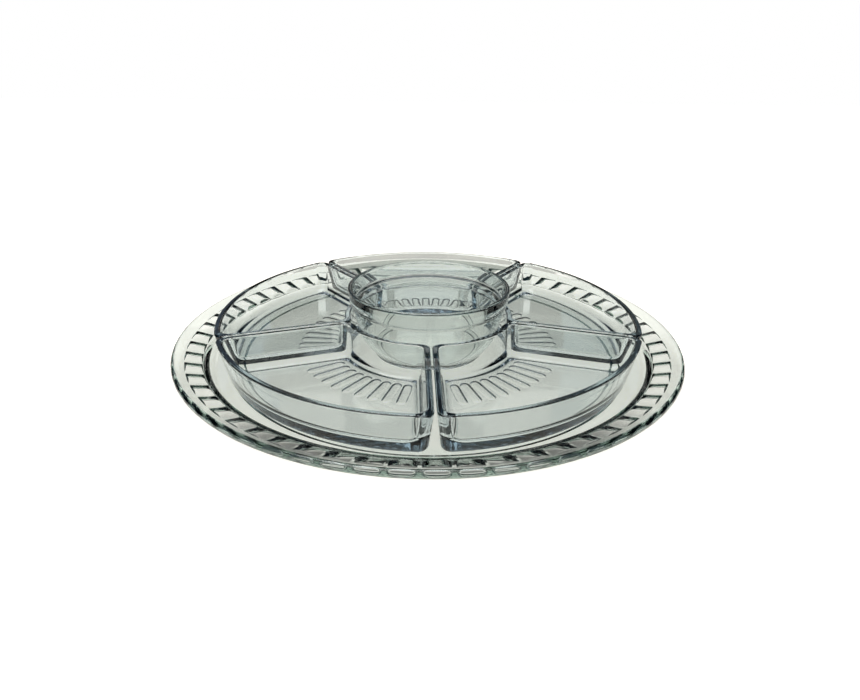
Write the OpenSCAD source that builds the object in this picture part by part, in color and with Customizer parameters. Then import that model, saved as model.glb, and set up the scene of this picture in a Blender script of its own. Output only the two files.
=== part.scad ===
// Round glass relish tray: a fluted tray carries a ring of wedge-shaped dishes round a bowl.
// Every piece is a loose pressed-glass moulding that lifts out by hand.
// Millimetres, +Z up, origin on the table under the middle of the tray, front towards -Y.

/* [Tray] */
// Outside diameter of the tray
tray_d = 355; // [320:1:400]
// Height of the tray's edge above the table
tray_h = 20; // [19:0.5:24]
// Depth of the flat well below the tray's edge
well_depth = 13; // [12:0.5:13.5]
// Thickness of the tray's glass
tray_glass = 5; // [4:0.1:5.5]
// Width of the sloping border, from the top of the riser to the outside edge
border_w = 21; // [18:0.5:24]
// Slope of the border, in degrees
border_slope = 16; // [12:1:18]
// Steepest slope of the riser between the well and the border, in degrees
riser_slope = 80; // [65:1:84]
// Diameter of the foot ring under the tray, at the middle of its width
foot_d = 270; // [200:1:280]
// Width of the foot ring where it stands on the table
foot_w = 6; // [4:0.5:10]

/* [Tray flutes] */
// Number of flutes pressed into the underside of the border
flute_count = 60; // [48:1:72]
// Depth of a flute
flute_depth = 2.2; // [1:0.1:2.5]
// Plain strip between the flutes' outer ends and the edge
flute_margin = 7.5; // [3.5:0.5:9]
// Plain strip between the riser's underside and the flutes' inner ends
flute_root = 0.5; // [0.3:0.1:2]
// Length over which a flute runs out to nothing at each end
flute_runout = 1.2; // [1:0.1:4]
// Width of a flute, as a share of the distance between flutes at their inner ends
flute_width_share = 0.93; // [0.7:0.01:0.96]

/* [Dishes] */
// Height of a dish
dish_h = 27.5; // [22:0.5:31]
// Thickness of a dish's walls at the rim
dish_wall = 4; // [3:0.1:5]
// Thickness of a dish's floor
dish_floor = 5; // [4:0.1:7]
// Gap between the rims of two dishes side by side
dish_gap = 1; // [0.6:0.1:3]
// How far a side wall leans in from its rim to its base
side_lean = 3; // [1:0.1:5]
// How far the outer wall leans in from its rim to its base
outer_lean = 6.5; // [2:0.1:8]
// How far the wall round the bowl leans away from the bowl, from its rim to its base
inner_lean = 1.5; // [0.5:0.1:3]
// Radius of a dish's upright corners, outside
corner_r = 6; // [4:0.5:9]
// Radius of a dish's upright corners, inside
inside_corner_r = 7; // [4:0.5:10]
// Radius between a dish's walls and its floor, inside
fillet_r = 6; // [3:0.5:9]
// Radius round the edge of a dish's base, outside
base_r = 3; // [1.5:0.5:3.5]
// Radius round both edges of a dish's flat rim
rim_round = 1.1; // [0.5:0.1:1.4]
// Gap between a dish's base and the edge of the tray's flat well
well_gap = 6.3; // [4:0.1:12]

/* [Finger flutes in the dishes] */
// Number of finger flutes pressed into the underside of a dish's floor
finger_count = 9; // [5:2:9]
// Angle from one finger flute to the next, in degrees
finger_pitch = 6; // [4:0.5:6]
// Length of a finger flute
finger_length = 27; // [20:1:45]
// Depth of a finger flute
finger_depth = 0.7; // [0.6:0.1:2]
// Length over which a finger flute runs out to nothing at each end
finger_runout = 4; // [2:0.5:6]
// Width of a finger flute, as a share of the distance between them at their inner ends
finger_width_share = 0.92; // [0.5:0.01:0.94]

/* [Bowl] */
// Diameter of the bowl at its rim
bowl_d = 114; // [100:1:130]
// Height of the bowl
bowl_h = 48; // [44:0.5:56]
// Thickness of the bowl's wall
bowl_wall = 3.2; // [2.4:0.1:4.4]
// Thickness of the bowl's floor
bowl_floor = 3.5; // [2.5:0.1:6]
// Height of the band round the top of the bowl
band_h = 11.5; // [8:0.5:12.5]
// How far the band narrows from the rim to its lower edge
band_lean = 1.2; // [0.4:0.1:3]
// How far the body is set in under the band
band_step = 3; // [1.5:0.1:4]
// How far the ledge under the band slopes down to the body
band_drop = 0.9; // [0.4:0.1:1.4]
// Radius of the body's curve from the band down to the foot
body_curve_r = 44; // [40:0.5:60]
// Height of the foot ring under the bowl
bowl_foot_h = 1.5; // [1:0.1:3]
// Width of the foot ring under the bowl
bowl_foot_w = 4; // [2:0.5:8]
// Gap between the bowl and the rims of the dishes round it
bowl_gap = 3; // [1:0.1:4]

/* [Hidden] */
$fn = 180;

tray_tint = [0.74, 0.80, 0.78];
dish_tint = [0.72, 0.79, 0.80];
bowl_tint = [0.78, 0.83, 0.80];

// The dishes share the circle round the bowl: the first lies to the right, and the gap
// between two of them faces the front
dish_count = 5;
dish_sector = 360 / dish_count;
first_dish_angle = 18;

// Cutters run past the faces they cut by this much, and past the sides of a flute by this angle
overrun = 1;
slice_margin = 0.5;

// Air under the dishes and the bowl where they stand in the tray's well
seat_gap = 0.2;

// Segments in the round stretches of outlines
arc_steps = 8;
outer_arc_steps = 8;
inner_arc_steps = 5;
corner_steps = 4;
base_steps = 3;
rim_steps = 2;
fillet_steps = 4;

// Tray section, from the edge inwards: the border is a slab with a full-round lip
lip_r = tray_glass / 2;
lip_center = [tray_d / 2 - lip_r, tray_h - lip_r];
border_normal = [-sin(border_slope), cos(border_slope)];
border_outer = lip_center + lip_r * border_normal;
border_in_r = tray_d / 2 - border_w;
border_in_z = border_outer.y - (border_outer.x - border_in_r) * tan(border_slope);

// The riser is two equal arcs that meet at its steepest slope
well_z = tray_h - well_depth;
riser_r = (border_in_z - well_z) / (1 + cos(border_slope) - 2 * cos(riser_slope));
well_r = border_in_r - riser_r * (2 * sin(riser_slope) - sin(border_slope));
riser_low = [well_r, well_z + riser_r];
riser_high = riser_low + 2 * riser_r * [sin(riser_slope), -cos(riser_slope)];

// Under the riser the glass keeps its thickness up to where it meets the border's underside
under_reach = riser_r - tray_glass - 2 * riser_r * cos(riser_slope - border_slope);
under_end = 90 + border_slope - acos(under_reach / (riser_r + tray_glass));
foot_h = well_z - tray_glass;

// The border's underside is a cone, and its flutes run towards the cone's tip
border_under = lip_center - lip_r * border_normal;
border_tip_z = border_under.y - border_under.x * tan(border_slope);
under_corner_r = riser_low.x + (riser_r + tray_glass) * cos(under_end);
flute_in = (under_corner_r + flute_root) / cos(border_slope);
flute_out = (tray_d / 2 - flute_margin) / cos(border_slope);
flute_pitch = 360 / flute_count;
flute_w = 2 * under_corner_r * sin(flute_pitch / 2) * flute_width_share;

// Bowl
bowl_r = bowl_d / 2;
band_z = bowl_h - band_h;
band_low_r = bowl_r - band_lean;
body_r = band_low_r - band_step;
body_top_z = band_z - band_step;
body_center = [body_r - body_curve_r, body_top_z];
body_foot_angle = asin((body_top_z - bowl_foot_h) / body_curve_r);
bowl_foot_r = body_center.x + body_curve_r * cos(body_foot_angle);
inside_curve_r = body_curve_r - bowl_wall;
inside_floor_z = bowl_foot_h + bowl_floor;
inside_floor_angle = asin((body_top_z - inside_floor_z) / inside_curve_r);

// Dish, with its middle along +X and its base at z = 0
outer_rim_r = well_r - well_gap + outer_lean;
inner_rim_r = body_r + bowl_gap;
side_angle = dish_sector / 2;
side_along = [cos(side_angle), sin(side_angle)];
side_normal = [-sin(side_angle), cos(side_angle)];
finger_in = inner_rim_r + inner_lean + dish_wall + fillet_r;
finger_w = 2 * finger_in * sin(finger_pitch / 2) * finger_width_share;

function arc(center, radius, from, to, steps) = [
    for (i = [0 : steps])
        let (a = from + (to - from) * i / steps)
            center + radius * [cos(a), sin(a)]
];

// Tray

riser_high_arc = arc(riser_high, riser_r, 90 + riser_slope, 90 + border_slope, arc_steps);

tray_section = concat(
    [[0, well_z]],
    arc(riser_low, riser_r, -90, riser_slope - 90, arc_steps),
    [for (i = [1 : arc_steps]) riser_high_arc[i]],
    arc(lip_center, lip_r, 90 + border_slope, border_slope - 90, 2 * arc_steps),
    arc(riser_low, riser_r + tray_glass, under_end, -90, arc_steps),
    [[0, foot_h]]
);

// Height of the middle of the tray's glass, where the foot ring ends inside it
function glass_middle_z(r) =
    let (
        beyond = r - well_r,
        bend_r = riser_r + tray_glass / 2,
        border_z = lip_center.y + (r - lip_center.x) * tan(border_slope)
    )
    beyond <= 0 ? foot_h + tray_glass / 2
    : beyond >= bend_r ? border_z
    : min(border_z, riser_low.y - sqrt(bend_r * bend_r - beyond * beyond));

foot_in_r = foot_d / 2 - foot_w / 2 - foot_h;
foot_out_r = foot_d / 2 + foot_w / 2 + foot_h;

foot_section = [
    [foot_d / 2 - foot_w / 2, 0],
    [foot_d / 2 + foot_w / 2, 0],
    [foot_out_r, foot_h],
    [foot_out_r, glass_middle_z(foot_out_r)],
    [foot_in_r, glass_middle_z(foot_in_r)],
    [foot_in_r, foot_h]
];

// Cutter for a flute along +X in the underside of the plane z = 0: the upper slice of a long
// round bar whose ends taper, so that the flute runs out at both ends. The slice is no wider
// than the flute needs, to stay clear of its neighbours.
module flute(from, to, runout, width, depth) {
    bar_r = (width * width / 4 + depth * depth) / (2 * depth);
    end_r = bar_r - depth - overrun;
    half_slice = asin(width / 2 / bar_r) + slice_margin;
    translate([0, 0, depth - bar_r])
        rotate([0, 90, 0])
            rotate([0, 0, 180 - half_slice])
                rotate_extrude(angle = 2 * half_slice)
                    polygon([
                        [end_r, from],
                        [bar_r, from + runout],
                        [bar_r, to - runout],
                        [end_r, to]
                    ]);
}

module tray() {
    color(tray_tint)
        difference() {
            rotate([0, 0, flute_pitch / 2])
                union() {
                    rotate_extrude()
                        polygon(tray_section);
                    rotate_extrude()
                        polygon(foot_section);
                }
            for (i = [0 : flute_count - 1])
                translate([0, 0, border_tip_z])
                    rotate([0, -border_slope, i * flute_pitch])
                        flute(flute_in, flute_out, flute_runout, flute_w, flute_depth);
        }
}

// Bowl

bowl_section = concat(
    [[0, bowl_foot_h], [bowl_foot_r - bowl_foot_w, bowl_foot_h]],
    [[bowl_foot_r - bowl_foot_w, 0], [bowl_foot_r, 0]],
    arc(body_center, body_curve_r, -body_foot_angle, 0, arc_steps),
    [[body_r, band_z - band_drop], [band_low_r, band_z]],
    arc([bowl_r - bowl_wall / 2, bowl_h - bowl_wall / 2], bowl_wall / 2, 0, 180, arc_steps),
    arc(body_center, inside_curve_r, 0, -inside_floor_angle, arc_steps),
    [[0, inside_floor_z]]
);

module center_bowl() {
    color(bowl_tint)
        translate([0, 0, well_z + seat_gap])
            rotate_extrude()
                polygon(bowl_section);
}

// Dishes

// Half of a dish's outline, from the middle of its outer arc to the middle of its inner arc
function half_outline(outer, inner, inset, corner) =
    let (
        off = inset + corner,
        outer_corner = sqrt(pow(outer - corner, 2) - off * off) * side_along - off * side_normal,
        inner_corner = sqrt(pow(inner + corner, 2) - off * off) * side_along - off * side_normal,
        outer_angle = atan2(outer_corner.y, outer_corner.x),
        inner_angle = atan2(inner_corner.y, inner_corner.x),
        outer_arc = arc([0, 0], outer, 0, outer_angle, outer_arc_steps),
        inner_arc = arc([0, 0], inner, inner_angle, 0, inner_arc_steps)
    )
    concat(
        [for (i = [0 : outer_arc_steps - 1]) outer_arc[i]],
        arc(outer_corner, corner, outer_angle, side_angle + 90, corner_steps),
        arc(inner_corner, corner, side_angle + 90, inner_angle + 180, corner_steps),
        [for (i = [1 : inner_arc_steps]) inner_arc[i]]
    );

// Ring of points round a dish at one height, drawn in from the outside face by inset
function dish_ring(z, inset, corner) =
    let (
        low = 1 - z / dish_h,
        half = half_outline(
            outer_rim_r - outer_lean * low - inset,
            inner_rim_r + inner_lean * low + inset,
            dish_gap / 2 + side_lean * low + inset,
            corner
        ),
        last = len(half) - 1
    )
    concat(
        [for (p = half) [p.x, p.y, z]],
        [for (i = [last - 1 : -1 : 1]) [half[i].x, -half[i].y, z]]
    );

// Rings up the outside of a dish, over its flat rim with two rounded edges, and down the inside
// to its floor
dish_rings = concat(
    [
        for (i = [0 : base_steps])
            let (a = 90 * i / base_steps, inset = base_r * (1 - sin(a)))
                dish_ring(base_r * (1 - cos(a)), inset, corner_r - inset)
    ],
    [
        for (side = [0, 1], i = [0 : rim_steps])
            let (
                a = 90 * (side == 0 ? i : rim_steps - i) / rim_steps,
                turn = rim_round * (1 - cos(a)),
                inset = side == 0 ? turn : dish_wall - turn
            )
                dish_ring(
                    dish_h - rim_round * (1 - sin(a)),
                    inset,
                    corner_r + (inside_corner_r - corner_r) * inset / dish_wall
                )
    ],
    [
        for (i = [0 : fillet_steps])
            let (a = 90 * i / fillet_steps)
                dish_ring(
                    dish_floor + fillet_r * (1 - sin(a)),
                    dish_wall + fillet_r * (1 - cos(a)),
                    inside_corner_r
                )
    ]
);

module dish_shell() {
    around = len(dish_rings[0]);
    rings = len(dish_rings);
    polyhedron(
        points = [for (ring = dish_rings) each ring],
        faces = concat(
            [[for (i = [0 : around - 1]) i]],
            [
                for (j = [0 : rings - 2], i = [0 : around - 1])
                    let (next = (i + 1) % around, low = j * around, high = low + around)
                        each [[low + i, high + i, high + next], [low + i, high + next, low + next]]
            ],
            [[for (i = [around - 1 : -1 : 0]) (rings - 1) * around + i]]
        )
    );
}

module dish(place) {
    color(dish_tint)
        translate([0, 0, well_z + seat_gap])
            rotate([0, 0, first_dish_angle + place * dish_sector])
                difference() {
                    dish_shell();
                    for (i = [0 : finger_count - 1])
                        rotate([0, 0, (i - (finger_count - 1) / 2) * finger_pitch])
                            flute(finger_in, finger_in + finger_length, finger_runout, finger_w, finger_depth);
                }
}

module right_dish() {
    dish(0);
}

module back_dish() {
    dish(1);
}

module left_dish() {
    dish(2);
}

module front_left_dish() {
    dish(3);
}

module front_right_dish() {
    dish(4);
}

tray();
center_bowl();
right_dish();
back_dish();
left_dish();
front_left_dish();
front_right_dish();
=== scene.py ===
import math

import bmesh
import bpy
from mathutils import Matrix, Vector


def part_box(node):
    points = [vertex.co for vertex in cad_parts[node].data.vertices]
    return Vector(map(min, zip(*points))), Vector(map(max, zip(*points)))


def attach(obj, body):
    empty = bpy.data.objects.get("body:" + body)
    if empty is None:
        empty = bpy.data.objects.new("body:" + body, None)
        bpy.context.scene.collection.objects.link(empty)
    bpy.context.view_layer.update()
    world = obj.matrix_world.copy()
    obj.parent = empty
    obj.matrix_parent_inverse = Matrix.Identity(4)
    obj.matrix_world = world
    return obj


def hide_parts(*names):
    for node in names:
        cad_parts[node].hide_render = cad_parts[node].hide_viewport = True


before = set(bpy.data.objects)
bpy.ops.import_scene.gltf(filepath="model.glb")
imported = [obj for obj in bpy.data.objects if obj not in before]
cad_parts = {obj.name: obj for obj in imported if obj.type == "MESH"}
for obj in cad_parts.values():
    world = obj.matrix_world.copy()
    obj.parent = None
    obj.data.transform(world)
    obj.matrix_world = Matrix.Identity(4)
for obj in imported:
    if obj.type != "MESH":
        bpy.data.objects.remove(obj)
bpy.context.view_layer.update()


# The tray is one round pressing of clear glass with a faint green cast. Its top is smooth: a flat
# well, a short riser and a sloping border with a rounded lip. The mould leaves scooped flutes in
# the underside of the border and a low foot ring under the well, on which the tray stands.
mm = 0.001
tray_low, tray_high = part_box("tray")
tray_r = (tray_high[0] - tray_low[0]) / 2
tray_h = tray_high[2]
well_depth = 13 * mm
well_z = tray_h - well_depth
tray_glass = 5 * mm
border_w = 21 * mm
border_slope = math.radians(16)
riser_slope = math.radians(80)
foot_r = 135 * mm
foot_w = 6 * mm
foot_h = well_z - tray_glass
foot_round = 0.8 * mm
flute_count = 60
flute_pitch = 2 * math.pi / flute_count
flute_depth = 2.2 * mm
flute_hollow = 2
flute_margin = 7.5 * mm
flute_root = 0.5 * mm
flute_end = 1.2 * mm
flute_squareness = 6
flute_width_share = 0.93
flute_side_steps = 6
flute_end_steps = 12
scoop_shares = (1, 0.94, 0.82, 0.66, 0.48, 0.3, 0.14, 0)
round_steps = 12
facet = 0.25 * mm
weld = 0.002 * mm
clear_tint = (0.985, 0.985, 0.975)
cord_tint = (0.965, 0.97, 0.96)
cord_scale = 14
cord_detail = 2
bloom_scale = 220
bloom_detail = 4
bloom_start = 0.5
bloom_full = 0.8
wave_detail = 1
glass_ior = 1.52


def arc(center, radius, start, end, steps):
    """Points round a centre in the plane, from one angle to another."""
    turns = [start + (end - start) * i / steps for i in range(steps + 1)]
    return [center + radius * Vector((math.cos(a), math.sin(a))) for a in turns]


def rounded(before, corner, after, radius, steps=4):
    """The arc that rounds off a corner between two straight runs."""
    back = (before - corner).normalized()
    ahead = (after - corner).normalized()
    half = back.angle(ahead) / 2
    center = corner + (back + ahead).normalized() * (radius / math.sin(half))
    first = corner + back * (radius / math.tan(half)) - center
    last = corner + ahead * (radius / math.tan(half)) - center
    start = math.atan2(first.y, first.x)
    turn = math.remainder(math.atan2(last.y, last.x) - start, 2 * math.pi)
    return arc(center, radius, start, start + turn, steps)


def section(*stretches):
    """Join stretches of a section by straight runs, with a narrow facet at both ends of each run
    so that smooth shading leaves the run itself flat."""
    path = list(stretches[0])
    for stretch in stretches[1:]:
        run = stretch[0] - path[-1]
        if run.length > 3 * facet:
            step = run.normalized() * facet
            path += [path[-1] + step, stretch[0] - step]
        path += stretch
    return path


def bridge(bm, rings):
    """Faces between each closed ring of vertices and the next."""
    for ring, following in zip(rings, rings[1:]):
        for i in range(len(ring)):
            j = (i + 1) % len(ring)
            bm.faces.new((ring[i], ring[j], following[j], following[i]))


def spin(bm, path, columns):
    """Turn a section of (radius, height) points round the Z axis."""
    turns = [2 * math.pi * i / columns for i in range(columns)]
    rings = []
    for point in path:
        spots = [(point.x * math.cos(a), point.x * math.sin(a), point.y) for a in turns]
        rings.append([bm.verts.new(spot) for spot in spots])
    bridge(bm, rings)


def keep_mesh(bm, name):
    """Close a form that is being built and keep it as a mesh."""
    mesh = bpy.data.meshes.new(name)
    bm.to_mesh(mesh)
    bm.free()
    return mesh


def add_object(name, data):
    """Put a new object in the scene."""
    added = bpy.data.objects.new(name, data)
    bpy.context.collection.objects.link(added)
    return added


def flute_outline(start, end, half_width, end_length, squareness, side_steps, end_steps):
    """Outline of a flute along X, each point paired with the point of the flute's spine that it
    faces. A squareness of 2 makes its ends elliptical, and more squares them off."""
    near, far = start + end_length, end - end_length
    power = 2 / squareness
    pairs = []
    for side, x_from, x_to in ((-1, near, far), (1, far, near)):
        for i in range(side_steps):
            x = x_from + (x_to - x_from) * i / side_steps
            pairs.append((Vector((x, side * half_width)), Vector((x, 0))))
        for i in range(end_steps):
            a = -math.pi / 2 + math.pi * i / end_steps
            out = end_length * math.cos(a) ** power if i else 0
            across = half_width * math.copysign(abs(math.sin(a)) ** power, math.sin(a))
            pairs.append((Vector((x_to - side * out, -side * across)), Vector((x_to, 0))))
    return pairs


def widened(outline):
    """Points of a flute's outline, set out from its edge by one facet."""
    return [edge + (edge - spine).normalized() * facet for edge, spine in outline]


def flute_mesh(name, outline, depth, hollow, place, around):
    """Mesh of one scooped flute: the plain glass round it, then rings from its edge to its spine.
    A high hollow gives it a flat bottom."""
    rings = [around]
    rings.append([place(point, 0) for point in widened(outline)])
    for share in scoop_shares:
        deep = depth * (1 - share ** hollow)
        rings.append([place(spine + (edge - spine) * share, deep) for edge, spine in outline])
    bm = bmesh.new()
    bridge(bm, [[bm.verts.new(p) for p in ring] for ring in rings if ring])
    bmesh.ops.remove_doubles(bm, verts=bm.verts, dist=weld)
    return keep_mesh(bm, name)


def calculate(tree, operation, *values):
    """Result of a math node, where each value is a number or another node's output."""
    node = tree.nodes.new("ShaderNodeMath")
    node.operation = operation
    for socket, value in zip(node.inputs, values):
        if isinstance(value, bpy.types.NodeSocket):
            tree.links.new(value, socket)
        else:
            socket.default_value = value
    return node.outputs[0]


def make_pressing_tree():
    """Geometry nodes that repeat a flute round the axis and weld the flutes to the plain glass."""
    tree = bpy.data.node_groups.new("pressing", "GeometryNodeTree")
    for label, kind in (
        ("Plain glass", "NodeSocketGeometry"),
        ("Flute", "NodeSocketObject"),
        ("Flutes", "NodeSocketInt"),
        ("Spacing", "NodeSocketFloat"),
        ("First angle", "NodeSocketFloat"),
        ("Weld", "NodeSocketFloat"),
        ("Glass", "NodeSocketMaterial"),
    ):
        tree.interface.new_socket(label, in_out="INPUT", socket_type=kind)
    tree.interface.new_socket("Pressing", in_out="OUTPUT", socket_type="NodeSocketGeometry")
    add, link = tree.nodes.new, tree.links.new
    given = add("NodeGroupInput").outputs
    flute = add("GeometryNodeObjectInfo")
    link(given["Flute"], flute.inputs["Object"])
    points = add("GeometryNodePoints")
    link(given["Flutes"], points.inputs["Count"])
    index = add("GeometryNodeInputIndex").outputs["Index"]
    angle = calculate(tree, "MULTIPLY_ADD", index, given["Spacing"], given["First angle"])
    turn = add("ShaderNodeCombineXYZ")
    link(angle, turn.inputs["Z"])
    rotation = add("FunctionNodeEulerToRotation")
    link(turn.outputs[0], rotation.inputs[0])
    copies = add("GeometryNodeInstanceOnPoints")
    link(points.outputs[0], copies.inputs["Points"])
    link(flute.outputs["Geometry"], copies.inputs["Instance"])
    link(rotation.outputs[0], copies.inputs["Rotation"])
    joined = add("GeometryNodeJoinGeometry")
    link(given["Plain glass"], joined.inputs[0])
    link(copies.outputs[0], joined.inputs[0])
    realized = add("GeometryNodeRealizeInstances")
    link(joined.outputs[0], realized.inputs[0])
    welded = add("GeometryNodeMergeByDistance")
    link(realized.outputs[0], welded.inputs["Geometry"])
    link(given["Weld"], welded.inputs["Distance"])
    finished = add("GeometryNodeSetMaterial")
    link(welded.outputs[0], finished.inputs["Geometry"])
    link(given["Glass"], finished.inputs["Material"])
    link(finished.outputs[0], add("NodeGroupOutput").inputs[0])
    return tree


def smooth_shell(mesh):
    """Turn a closed mesh's faces outwards and shade it smooth."""
    bm = bmesh.new()
    bm.from_mesh(mesh)
    bmesh.ops.remove_doubles(bm, verts=bm.verts, dist=weld)
    bmesh.ops.recalc_face_normals(bm, faces=bm.faces)
    bm.to_mesh(mesh)
    bm.free()
    mesh.shade_smooth()


def press(name, plain, flute, count, spacing, first, glass):
    """A pressing with flutes: runs the nodes on the plain glass and keeps the result as a mesh."""
    piece = add_object(name, plain)
    flute_object = add_object(name + "_flute", flute)
    modifier = piece.modifiers.new("pressing", "NODES")
    modifier.node_group = pressing_tree
    values = {
        "Flute": flute_object,
        "Flutes": count,
        "Spacing": spacing,
        "First angle": first,
        "Weld": weld,
        "Glass": glass,
    }
    for socket in pressing_tree.interface.items_tree:
        if socket.in_out == "INPUT" and socket.name in values:
            modifier[socket.identifier] = values[socket.name]
    evaluated = piece.evaluated_get(bpy.context.evaluated_depsgraph_get())
    mesh = bpy.data.meshes.new_from_object(evaluated)
    piece.modifiers.clear()
    piece.data = mesh
    bpy.data.objects.remove(flute_object)
    smooth_shell(mesh)
    return piece


def make_glass_surface():
    """Shader group of a pressed surface: cords of slightly different glass, a faint bloom on the
    polish and the slow waves that a mould leaves."""
    group = bpy.data.node_groups.new("pressed_surface", "ShaderNodeTree")
    for label, kind in (
        ("Clear tint", "NodeSocketColor"),
        ("Cord tint", "NodeSocketColor"),
        ("Cord scale", "NodeSocketFloat"),
        ("Bloom", "NodeSocketFloat"),
        ("Wave scale", "NodeSocketFloat"),
    ):
        group.interface.new_socket(label, in_out="INPUT", socket_type=kind)
    for label, kind in (
        ("Tint", "NodeSocketColor"),
        ("Roughness", "NodeSocketFloat"),
        ("Height", "NodeSocketFloat"),
    ):
        group.interface.new_socket(label, in_out="OUTPUT", socket_type=kind)
    add, link = group.nodes.new, group.links.new
    given = add("NodeGroupInput").outputs
    made = add("NodeGroupOutput").inputs
    place = add("ShaderNodeTexCoord").outputs["Object"]
    cords = add("ShaderNodeTexNoise")
    cords.inputs["Detail"].default_value = cord_detail
    link(place, cords.inputs["Vector"])
    link(given["Cord scale"], cords.inputs["Scale"])
    tint = add("ShaderNodeMix")
    tint.data_type = "RGBA"
    link(cords.outputs["Fac"], tint.inputs["Factor"])
    link(given["Clear tint"], tint.inputs["A"])
    link(given["Cord tint"], tint.inputs["B"])
    link(tint.outputs["Result"], made["Tint"])
    bloom = add("ShaderNodeTexNoise")
    bloom.inputs["Scale"].default_value = bloom_scale
    bloom.inputs["Detail"].default_value = bloom_detail
    link(place, bloom.inputs["Vector"])
    patches = add("ShaderNodeMapRange")
    patches.inputs["From Min"].default_value = bloom_start
    patches.inputs["From Max"].default_value = bloom_full
    link(bloom.outputs["Fac"], patches.inputs["Value"])
    link(given["Bloom"], patches.inputs["To Max"])
    link(patches.outputs["Result"], made["Roughness"])
    waves = add("ShaderNodeTexNoise")
    waves.inputs["Detail"].default_value = wave_detail
    link(place, waves.inputs["Vector"])
    link(given["Wave scale"], waves.inputs["Scale"])
    link(waves.outputs["Fac"], made["Height"])
    return group


def pressed_glass(name, body, density, bloom, wave_scale, wave_height):
    """Clear pressed glass: a polished surface over glass that tints what shows through it."""
    material = bpy.data.materials.new(name)
    material.use_nodes = True
    nodes, link = material.node_tree.nodes, material.node_tree.links.new
    glass = nodes["Principled BSDF"]
    glass.inputs["Metallic"].default_value = 0
    glass.inputs["Transmission Weight"].default_value = 1
    glass.inputs["IOR"].default_value = glass_ior
    surface = nodes.new("ShaderNodeGroup")
    surface.node_tree = glass_surface
    surface.inputs["Clear tint"].default_value = (*clear_tint, 1)
    surface.inputs["Cord tint"].default_value = (*cord_tint, 1)
    surface.inputs["Cord scale"].default_value = cord_scale
    surface.inputs["Bloom"].default_value = bloom
    surface.inputs["Wave scale"].default_value = wave_scale
    link(surface.outputs["Tint"], glass.inputs["Base Color"])
    link(surface.outputs["Roughness"], glass.inputs["Roughness"])
    bump = nodes.new("ShaderNodeBump")
    bump.inputs["Distance"].default_value = wave_height
    link(surface.outputs["Height"], bump.inputs["Height"])
    link(bump.outputs["Normal"], glass.inputs["Normal"])
    depth = nodes.new("ShaderNodeVolumeAbsorption")
    depth.inputs["Color"].default_value = (*body, 1)
    depth.inputs["Density"].default_value = density
    link(depth.outputs["Volume"], nodes["Material Output"].inputs["Volume"])
    return material


pressing_tree = make_pressing_tree()
glass_surface = make_glass_surface()
tray_finish = pressed_glass(
    "tray_glass",
    body=(0.46, 0.66, 0.58),
    density=45,
    bloom=0.012,
    wave_scale=45,
    wave_height=0.05 * mm,
)

lip_r = tray_glass / 2
lip_center = Vector((tray_r - lip_r, tray_h - lip_r))
border_normal = Vector((-math.sin(border_slope), math.cos(border_slope)))
border_outer = lip_center + lip_r * border_normal
border_under = lip_center - lip_r * border_normal
border_in_r = tray_r - border_w
border_in_z = border_outer.y - (border_outer.x - border_in_r) * math.tan(border_slope)
riser_bend = 1 + math.cos(border_slope) - 2 * math.cos(riser_slope)
riser_r = (border_in_z - well_z) / riser_bend
well_r = border_in_r - riser_r * (2 * math.sin(riser_slope) - math.sin(border_slope))
riser_low = Vector((well_r, well_z + riser_r))
riser_high = riser_low + 2 * riser_r * Vector((math.sin(riser_slope), -math.cos(riser_slope)))
under_r = riser_r + tray_glass
under_reach = riser_r - tray_glass - 2 * riser_r * math.cos(riser_slope - border_slope)
under_end = math.pi / 2 + border_slope - math.acos(under_reach / under_r)
under_corner = riser_low + under_r * Vector((math.cos(under_end), math.sin(under_end)))
border_tip_z = border_under.y - border_under.x * math.tan(border_slope)

top_path = section(
    [Vector((0, well_z))],
    arc(riser_low, riser_r, -math.pi / 2, riser_slope - math.pi / 2, round_steps),
    arc(riser_high, riser_r, math.pi / 2 + riser_slope, math.pi / 2 + border_slope, round_steps),
    arc(lip_center, lip_r, math.pi / 2 + border_slope, border_slope - math.pi / 2, round_steps),
)
foot_corners = [
    Vector((well_r, foot_h)),
    Vector((foot_r + foot_w / 2 + foot_h, foot_h)),
    Vector((foot_r + foot_w / 2, 0)),
    Vector((foot_r - foot_w / 2, 0)),
    Vector((foot_r - foot_w / 2 - foot_h, foot_h)),
    Vector((0, foot_h)),
]
foot_threes = zip(foot_corners, foot_corners[1:], foot_corners[2:])
under_path = section(
    arc(riser_low, under_r, under_end, -math.pi / 2, round_steps),
    *[rounded(before, corner, after, foot_round) for before, corner, after in foot_threes],
    [foot_corners[-1]],
)


def place_on_border(point, depth):
    """A point of a flute on the cone of the border's underside, with X measured from its tip."""
    r = point.x * math.cos(border_slope)
    angle = point.y / r
    z = border_tip_z + r * math.tan(border_slope) + depth * border_normal.y
    r += depth * border_normal.x
    return Vector((r * math.cos(angle), r * math.sin(angle), z))


def flute_surround():
    """Border of one flute's share of the tray, in step with the flute's outline."""
    ring = []
    ends = (under_corner.x, border_under.x)
    for side, (r_from, r_to) in ((-1, ends), (1, ends[::-1])):
        side_angle = side * flute_pitch / 2
        for i in range(flute_side_steps):
            ring.append((r_from + (r_to - r_from) * i / flute_side_steps, side_angle))
        for i in range(flute_end_steps):
            ring.append((r_to, side_angle * (1 - 2 * i / flute_end_steps)))
    cone = math.tan(border_slope)
    return [Vector((r * math.cos(a), r * math.sin(a), border_tip_z + r * cone)) for r, a in ring]


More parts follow.
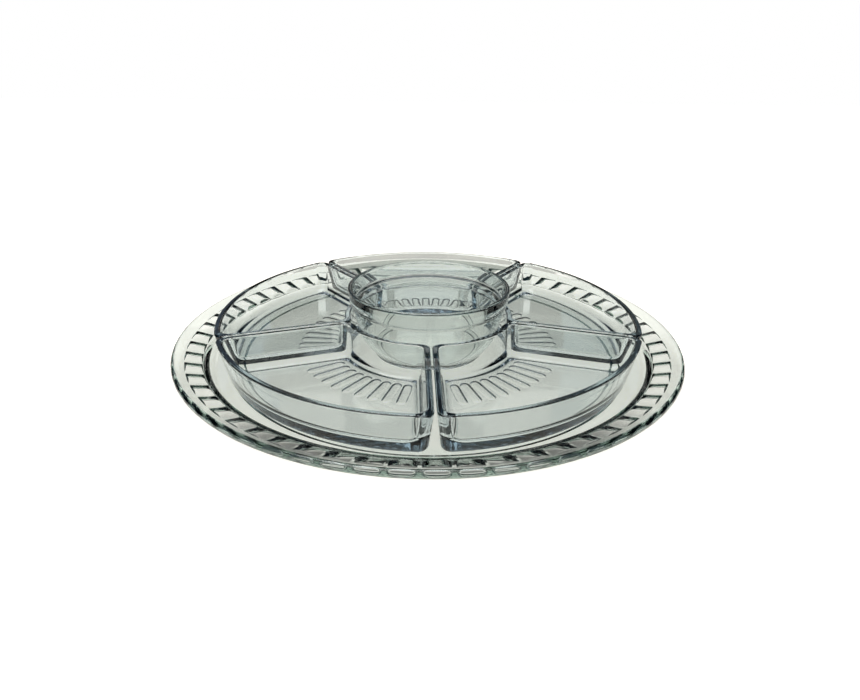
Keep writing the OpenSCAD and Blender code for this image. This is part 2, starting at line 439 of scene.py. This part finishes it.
tray_form = bmesh.new()
for path in (top_path, under_path):
    spin(tray_form, path, flute_count * flute_end_steps)
bmesh.ops.remove_doubles(tray_form, verts=tray_form.verts, dist=weld)
tray_mesh = keep_mesh(tray_form, "tray")
tray_flute_outline = flute_outline(
    (under_corner.x + flute_root) / math.cos(border_slope),
    (tray_r - flute_margin) / math.cos(border_slope),
    under_corner.x * math.sin(flute_pitch / 2) * flute_width_share,
    flute_end,
    flute_squareness,
    flute_side_steps,
    flute_end_steps,
)
tray_flute = flute_mesh(
    "tray_flute",
    tray_flute_outline,
    flute_depth,
    flute_hollow,
    place_on_border,
    flute_surround(),
)
tray = press("fluted_tray", tray_mesh, tray_flute, flute_count, flute_pitch, 0, tray_finish)
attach(tray, "tray")
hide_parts("tray")


# Five like dishes ring the bowl. Each is a wedge of clear glass pressed in one piece, a little
# bluer than the tray, with leaning walls, a flat rim with rounded edges and nine finger flutes
# under its floor. It stands loose in the tray's well and lifts out by hand.
dish_angles = {
    "right_dish": 18,
    "back_dish": 90,
    "left_dish": 162,
    "front_left_dish": 234,
    "front_right_dish": 306,
}
dish_low, dish_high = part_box("back_dish")
dish_z = dish_low[2]
dish_h = dish_high[2] - dish_low[2]
dish_wall = 4 * mm
dish_floor = 5 * mm
dish_gap = 1 * mm
side_lean = 3 * mm
outer_lean = 6.5 * mm
inner_lean = 1.5 * mm
corner_r = 6 * mm
inside_corner_r = 7 * mm
fillet_r = 6 * mm
base_r = 3 * mm
rim_round = 1.1 * mm
outer_rim_r = dish_high[1]
inner_rim_r = 55.8 * mm
outer_steps = 48
inner_steps = 24
side_steps = 10
corner_steps = 10
edge_steps = 8
fillet_steps = 12
finger_count = 9
finger_pitch = math.radians(6)
finger_length = 27 * mm
finger_depth = 0.7 * mm
finger_hollow = 5
finger_end = 4 * mm
finger_squareness = 2
finger_width_share = 0.92
finger_side_steps = 10
finger_end_steps = 14
finger_in = inner_rim_r + inner_lean + dish_wall + fillet_r
finger_half_w = finger_in * math.sin(finger_pitch / 2) * finger_width_share
side_angle = math.pi / len(dish_angles)
side_along = Vector((math.cos(side_angle), math.sin(side_angle)))
side_normal = Vector((-math.sin(side_angle), math.cos(side_angle)))
dish_finish = pressed_glass(
    "dish_glass",
    body=(0.42, 0.60, 0.72),
    density=22,
    bloom=0.012,
    wave_scale=50,
    wave_height=0.05 * mm,
)


def wall_run(start, end, steps):
    """Points along a straight stretch of a dish's outline, without its ends."""
    return [start.lerp(end, i / steps) for i in range(1, steps)]


def dish_ring(height, inset, corner):
    """Ring of points round a dish at one height, drawn in from the outside face by inset."""
    low = 1 - height / dish_h
    outer = outer_rim_r - outer_lean * low - inset
    inner = inner_rim_r + inner_lean * low + inset
    off = dish_gap / 2 + side_lean * low + inset + corner
    outer_corner = math.sqrt((outer - corner) ** 2 - off ** 2) * side_along - off * side_normal
    inner_corner = math.sqrt((inner + corner) ** 2 - off ** 2) * side_along - off * side_normal
    outer_angle = math.atan2(outer_corner.y, outer_corner.x)
    inner_angle = math.atan2(inner_corner.y, inner_corner.x)
    square = side_angle + math.pi / 2
    outer_turn = arc(outer_corner, corner, outer_angle, square, corner_steps)
    inner_turn = arc(inner_corner, corner, square, inner_angle + math.pi, corner_steps)
    half = arc(Vector((0, 0)), outer, 0, outer_angle, outer_steps)[:-1]
    half += outer_turn + wall_run(outer_turn[-1], inner_turn[0], side_steps) + inner_turn
    half += arc(Vector((0, 0)), inner, inner_angle, 0, inner_steps)[1:]
    whole = half + [Vector((p.x, -p.y)) for p in half[-2:0:-1]]
    return [Vector((p.x, p.y, dish_z + height)) for p in whole]


def rim_ring(inset, drop):
    """Ring on the rim of a dish, where the corners widen from the outside to the inside."""
    corner = corner_r + (inside_corner_r - corner_r) * inset / dish_wall
    return dish_ring(dish_h - drop, inset, corner)


def quarter_turn(steps):
    """Angles from 0 to a right angle."""
    return [math.pi / 2 * i / steps for i in range(steps + 1)]


def dish_rings():
    """Rings from the underside of a dish, up its outside, over the rim and down to its floor."""
    edge_angles = quarter_turn(edge_steps)
    rim_low = dish_h - rim_round
    rim_turns = [(rim_round * (1 - math.cos(a)), rim_round * (1 - math.sin(a))) for a in edge_angles]
    rings = [dish_ring(0, base_r + facet, corner_r - base_r - facet)]
    for a in edge_angles:
        inset = base_r * (1 - math.sin(a))
        rings.append(dish_ring(base_r * (1 - math.cos(a)), inset, corner_r - inset))
    rings.append(dish_ring(base_r + facet, 0, corner_r))
    rings.append(dish_ring(rim_low - facet, 0, corner_r))
    rings += [rim_ring(inset, drop) for inset, drop in rim_turns]
    rings += [rim_ring(rim_round + facet, 0), rim_ring(dish_wall - rim_round - facet, 0)]
    rings += [rim_ring(dish_wall - inset, drop) for inset, drop in reversed(rim_turns)]
    rings.append(dish_ring(rim_low - facet, dish_wall, inside_corner_r))
    rings.append(dish_ring(dish_floor + fillet_r + facet, dish_wall, inside_corner_r))
    for a in quarter_turn(fillet_steps):
        height = dish_floor + fillet_r * (1 - math.sin(a))
        rings.append(dish_ring(height, dish_wall + fillet_r * (1 - math.cos(a)), inside_corner_r))
    rings.append(dish_ring(dish_floor, dish_wall + fillet_r + facet, inside_corner_r))
    return rings


def place_under_dish(point, depth):
    """A point of a finger flute on the flat underside of a dish."""
    return Vector((point.x, point.y, dish_z + depth))


finger_outline = flute_outline(
    finger_in,
    finger_in + finger_length,
    finger_half_w,
    finger_end,
    finger_squareness,
    finger_side_steps,
    finger_end_steps,
)
finger_flute = flute_mesh(
    "finger_flute",
    finger_outline,
    finger_depth,
    finger_hollow,
    place_under_dish,
    None,
)
finger_turns = [(i - (finger_count - 1) / 2) * finger_pitch for i in range(finger_count)]

dish_form = bmesh.new()
dish_verts = [[dish_form.verts.new(p) for p in ring] for ring in dish_rings()]
bridge(dish_form, dish_verts)
dish_form.faces.new(dish_verts[-1])
finger_edge = [place_under_dish(point, 0) for point in widened(finger_outline)]
base_loops = [dish_verts[0]]
for turn in finger_turns:
    spot = Matrix.Rotation(turn, 3, "Z")
    base_loops.append([dish_form.verts.new(spot @ p) for p in finger_edge])
base_edges = []
for loop in base_loops:
    for i in range(len(loop)):
        ends = (loop[i], loop[(i + 1) % len(loop)])
        base_edges.append(dish_form.edges.get(ends) or dish_form.edges.new(ends))
bmesh.ops.triangle_fill(dish_form, use_beauty=True, edges=base_edges, normal=(0, 0, -1))
dish_pattern = press(
    "dish_pattern",
    keep_mesh(dish_form, "dish"),
    finger_flute,
    finger_count,
    finger_pitch,
    finger_turns[0],
    dish_finish,
)
for node, angle in dish_angles.items():
    mesh = dish_pattern.data.copy()
    mesh.transform(Matrix.Rotation(math.radians(angle), 4, "Z"))
    dish = add_object("glass_" + node, mesh)
    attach(dish, node)
    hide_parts(node)
bpy.data.objects.remove(dish_pattern)


# The bowl stands loose in the middle of the ring, higher than the dishes. It is clear pressed
# glass: a round body on a low foot ring, set in by a ledge under an upright band with a
# fire-polished rim.
bowl_low, bowl_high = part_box("center_bowl")
bowl_z = bowl_low[2]
bowl_h = bowl_high[2] - bowl_low[2]
bowl_r = bowl_high[0]
bowl_wall = 3.2 * mm
bowl_floor = 3.5 * mm
band_h = 11.5 * mm
band_lean = 1.2 * mm
band_step = 3 * mm
band_drop = 0.9 * mm
band_round = 2.4 * mm
ledge_round = 0.8 * mm
body_curve_r = 44 * mm
bowl_foot_h = 1.5 * mm
bowl_foot_w = 4 * mm
bowl_foot_round = 0.6 * mm
bowl_columns = 288
body_steps = 24
rim_steps = 16
band_steps = 6
band_z = bowl_h - band_h
band_low_r = bowl_r - band_lean
body_r = band_low_r - band_step
body_center = Vector((body_r - body_curve_r, band_z - band_step))
body_foot_angle = math.asin((body_center.y - bowl_foot_h) / body_curve_r)
bowl_foot_r = body_center.x + body_curve_r * math.cos(body_foot_angle)
inside_r = body_curve_r - bowl_wall
inside_floor_z = bowl_foot_h + bowl_floor
inside_angle = math.asin((body_center.y - inside_floor_z) / inside_r)
bowl_finish = pressed_glass(
    "bowl_glass",
    body=(0.46, 0.62, 0.64),
    density=45,
    bloom=0.01,
    wave_scale=55,
    wave_height=0.04 * mm,
)

base_middle = Vector((0, bowl_foot_h))
foot_in = Vector((bowl_foot_r - bowl_foot_w, 0))
foot_top = Vector((bowl_foot_r - bowl_foot_w, bowl_foot_h))
foot_out = Vector((bowl_foot_r, 0))
body_foot = Vector((bowl_foot_r, bowl_foot_h))
body_side = Vector((body_r, body_center.y))
ledge_in = Vector((body_r, band_z - band_drop))
band_low = Vector((band_low_r, band_z))
band_high = Vector((bowl_r, bowl_h))
rim_center = Vector((bowl_r - bowl_wall / 2, bowl_h - bowl_wall / 2))
bowl_path = section(
    [base_middle],
    rounded(base_middle, foot_top, foot_in, bowl_foot_round),
    rounded(foot_top, foot_in, foot_out, bowl_foot_round),
    rounded(foot_in, foot_out, body_foot, bowl_foot_round),
    arc(body_center, body_curve_r, -body_foot_angle, 0, body_steps),
    rounded(body_side, ledge_in, band_low, ledge_round),
    rounded(ledge_in, band_low, band_high, band_round, band_steps),
    arc(rim_center, bowl_wall / 2, 0, math.pi, rim_steps),
    arc(body_center, inside_r, 0, -inside_angle, body_steps),
    [Vector((0, inside_floor_z))],
)
bowl_form = bmesh.new()
spin(bowl_form, [p + Vector((0, bowl_z)) for p in bowl_path], bowl_columns)
bowl_mesh = keep_mesh(bowl_form, "bowl")
smooth_shell(bowl_mesh)
bowl_mesh.materials.append(bowl_finish)
bowl = add_object("glass_center_bowl", bowl_mesh)
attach(bowl, "center_bowl")
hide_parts("center_bowl")


# The set stands on a plain pale table in soft light from above, against white. Glowing dark and grey
# cards round it, a glowing pale window, a painted grey shade on the table behind and a painted soft
# shade on the table under the front of the border draw the edges and floors of the glass, which
# alone shows them. Sizes here are in metres.
table_half = 2
table_drop = 0.3 * mm
table_tint = (0.86, 0.83, 0.79)
table_roughness = 0.9
table_glow_tint = (1, 0.96, 0.9)
table_glow_in_glass = 0.76
table_glow_to_camera = 0.96
sky_on_set = 0.25
sky_in_glass = 0.7
sky_to_camera = 1
# Painted shade on the table under the front of the tray's border, seen only in the glass.
shade_r = 162 * mm
shade_core = 8 * mm
shade_edge = 14 * mm
shade_start_y = -80 * mm
shade_full_y = -140 * mm
shade_depth = 0.75
# Painted shade: a grey strip on the table behind the set, which only the glass shows.
strip_drop = 0.2 * mm
strip_near = 0.19
strip_far = 0.6
strip_half = 0.4
painted_shade_color = (0.62, 0.61, 0.56)
room_half = 1.2
room_h = 2.4
front_h = 1.0
back_h = 1.0
corner_low_h = 0.45
middle_half = 0.4
middle_low_h = 0.7
window_half = 0.2
window_low = 0.36
window_high = 0.6
softbox_w = 1.0
softbox_h = 0.7
softbox_watts = 8
softbox_place = (-0.2, 0.25, 1.3)


def panel(name, corners, material):
    """A flat stage panel through its corners."""
    mesh = bpy.data.meshes.new(name)
    mesh.from_pydata(corners, [], [tuple(range(len(corners)))])
    mesh.materials.append(material)
    board = add_object(name, mesh)
    return board


def flat_corners(x_low, x_high, y_low, y_high, z):
    """Corners of a level rectangle."""
    return [(x_low, y_low, z), (x_high, y_low, z), (x_high, y_high, z), (x_low, y_high, z)]


def upright_corners(start, end, low, high):
    """Corners of an upright rectangle over a line on the table."""
    return [(*start, low), (*end, low), (*end, high), (*start, high)]


def card(name, corners, color):
    """A card that glows in one even colour, whatever the light, and that only the glass shows."""
    paint = bpy.data.materials.new(name)
    paint.use_nodes = True
    shader = paint.node_tree.nodes["Principled BSDF"]
    shader.inputs["Base Color"].default_value = (0, 0, 0, 1)
    shader.inputs["Specular IOR Level"].default_value = 0
    shader.inputs["Emission Color"].default_value = (*color, 1)
    shader.inputs["Emission Strength"].default_value = 1
    board = panel(name, corners, paint)
    board.visible_camera = False
    board.visible_diffuse = False
    board.visible_shadow = False


def level_by_ray(tree, on_set, in_glass, to_camera):
    """A strength of one level as light on the set, one where glass shows it, mirrored or through
    itself, and one straight to the camera."""
    path = tree.nodes.new("ShaderNodeLightPath").outputs
    glass_ray = calculate(tree, "MAXIMUM", path["Is Glossy Ray"], path["Is Transmission Ray"])
    shown_ray = calculate(tree, "MAXIMUM", path["Is Camera Ray"], glass_ray)
    level = calculate(tree, "MULTIPLY_ADD", shown_ray, in_glass - on_set, on_set)
    return calculate(tree, "MULTIPLY_ADD", path["Is Camera Ray"], to_camera - in_glass, level)


def fade(tree, value, start, end, top=1):
    """A smooth step from 0 at start to top at end."""
    ramp = tree.nodes.new("ShaderNodeMapRange")
    ramp.interpolation_type = "SMOOTHSTEP"
    ramp.inputs["From Min"].default_value = start
    ramp.inputs["From Max"].default_value = end
    ramp.inputs["To Max"].default_value = top
    tree.links.new(value, ramp.inputs["Value"])
    return ramp.outputs["Result"]


def painted_border_shade(tree):
    """Painted shade: the share of its colour and glow that the table loses in a curved band under
    the front of the tray's border. It is 0 straight to the camera."""
    place = tree.nodes.new("ShaderNodeTexCoord").outputs["Object"]
    from_middle = tree.nodes.new("ShaderNodeVectorMath")
    from_middle.operation = "LENGTH"
    tree.links.new(place, from_middle.inputs[0])
    from_band = calculate(tree, "SUBTRACT", from_middle.outputs["Value"], shade_r)
    band = fade(tree, calculate(tree, "ABSOLUTE", from_band), shade_edge, shade_core)
    axes = tree.nodes.new("ShaderNodeSeparateXYZ")
    tree.links.new(place, axes.inputs[0])
    front = fade(tree, axes.outputs["Y"], shade_start_y, shade_full_y, shade_depth)
    camera_ray = tree.nodes.new("ShaderNodeLightPath").outputs["Is Camera Ray"]
    shade = calculate(tree, "MULTIPLY", band, front)
    return calculate(tree, "MULTIPLY", shade, calculate(tree, "SUBTRACT", 1, camera_ray))


def make_table_paint():
    """Matt pale table, which is white to the camera and a little darker in the glass, with a painted
    shade under the front of the border.
    """
    paint = bpy.data.materials.new("table")
    paint.use_nodes = True
    tree = paint.node_tree
    matt = tree.nodes["Principled BSDF"]
    matt.inputs["Roughness"].default_value = table_roughness
    matt.inputs["Specular IOR Level"].default_value = 0
    matt.inputs["Emission Color"].default_value = (*table_glow_tint, 1)
    shade = painted_border_shade(tree)
    color = tree.nodes.new("ShaderNodeMix")
    color.data_type = "RGBA"
    color.inputs["A"].default_value = (*table_tint, 1)
    color.inputs["B"].default_value = (0, 0, 0, 1)
    tree.links.new(shade, color.inputs["Factor"])
    tree.links.new(color.outputs["Result"], matt.inputs["Base Color"])
    level = level_by_ray(tree, 0, table_glow_in_glass, table_glow_to_camera)
    glow = calculate(tree, "MULTIPLY", level, calculate(tree, "SUBTRACT", 1, shade))
    tree.links.new(glow, matt.inputs["Emission Strength"])
    return paint


table_corners = flat_corners(-table_half, table_half, -table_half, table_half, -table_drop)
panel("table", table_corners, make_table_paint())
# Painted shade on the table behind the set, shown only in the glass.
strip_corners = flat_corners(-strip_half, strip_half, strip_near, strip_far, -strip_drop)
card("back_strip", strip_corners, painted_shade_color)

world = bpy.data.worlds.new("studio")
bpy.context.scene.world = world
world.use_nodes = True
sky = world.node_tree.nodes["Background"]
sky.inputs["Color"].default_value = (1, 1, 1, 1)
sky_level = level_by_ray(world.node_tree, sky_on_set, sky_in_glass, sky_to_camera)
world.node_tree.links.new(sky_level, sky.inputs["Strength"])

left_front, left_back = (-room_half, -room_half), (-room_half, room_half)
right_front, right_back = (room_half, -room_half), (room_half, room_half)
side_cards = {
    "left_board": (left_front, left_back, room_h, (0.012, 0.026, 0.036)),
    "right_board": (right_back, right_front, room_h, (0.012, 0.026, 0.034)),
    "front_board": (right_front, left_front, front_h, (0.02, 0.08, 0.16)),
}
for name, (start, end, high, color) in side_cards.items():
    card(name, upright_corners(start, end, -table_drop, high), color)
back_cards = {
    "left_low": (-room_half, -middle_half, 0, corner_low_h, (0.02, 0.024, 0.026)),
    "left_high": (-room_half, -middle_half, corner_low_h, back_h, (0.20, 0.25, 0.32)),
    "mid_left_low": (-middle_half, -window_half, 0, middle_low_h, (0.02, 0.021, 0.021)),
    "mid_left_high": (-middle_half, -window_half, middle_low_h, back_h, (0.5, 0.5, 0.48)),
    "mid_low": (-window_half, window_half, 0, window_low, (0.015, 0.016, 0.016)),
    "window": (-window_half, window_half, window_low, window_high, (0.9, 0.9, 0.86)),
    "mid_high": (-window_half, window_half, window_high, back_h, (0.08, 0.10, 0.12)),
    "mid_right_low": (window_half, middle_half, 0, middle_low_h, (0.02, 0.021, 0.021)),
    "mid_right_high": (window_half, middle_half, middle_low_h, back_h, (0.5, 0.5, 0.48)),
    "right_low": (middle_half, room_half, 0, corner_low_h, (0.02, 0.024, 0.026)),
    "right_high": (middle_half, room_half, corner_low_h, back_h, (0.25, 0.31, 0.33)),
    "back_top": (-room_half, room_half, back_h, room_h, (0.05, 0.08, 0.065)),
}
for name, (x_low, x_high, low, high, color) in back_cards.items():
    start, end = (x_low, room_half), (x_high, room_half)
    card(name, upright_corners(start, end, low - table_drop, high), color)

light = bpy.data.lights.new("softbox", "AREA")
light.shape = "RECTANGLE"
light.size = softbox_w
light.size_y = softbox_h
light.energy = softbox_watts
softbox = add_object("softbox", light)
softbox.location = softbox_place
softbox.rotation_euler = (-softbox.location).to_track_quat("-Z", "Y").to_euler()
softbox.visible_transmission = False

# A ray that passes through the bowl, a dish and the tray crosses about a dozen faces of glass.
cycles = bpy.context.scene.cycles
cycles.max_bounces = 16
cycles.glossy_bounces = 5
cycles.transmission_bounces = 14


# The camera stands where the picture was taken, a little left of the gap between the front dishes.
# Its angles are in radians, and its focal length is in pixels of a picture 860 pixels wide.
camera_distance = 458.4 * mm
camera_height = 216.9 * mm
camera_pitch = 0.434
camera_roll = 0.013
camera_yaw = -0.003
camera_bearing = -0.031
image_width_px = 860
focal_px = 686.2
sensor_w = 36
optics = bpy.data.cameras.new("camera")
optics.sensor_fit = "HORIZONTAL"
optics.sensor_width = sensor_w
optics.lens = focal_px * sensor_w / image_width_px
camera = add_object("camera", optics)
heading = Matrix.Rotation(camera_bearing + camera_yaw, 4, "Z")
tilt = Matrix.Rotation(math.pi / 2 - camera_pitch, 4, "X")
roll = Matrix.Rotation(camera_roll, 4, "Z")
stand = Matrix.Rotation(camera_bearing, 4, "Z") @ Vector((0, -camera_distance, camera_height))
camera.matrix_world = Matrix.Translation(stand) @ heading @ tilt @ roll
bpy.context.scene.camera = camera
bpy.context.scene.view_settings.view_transform = "Standard"
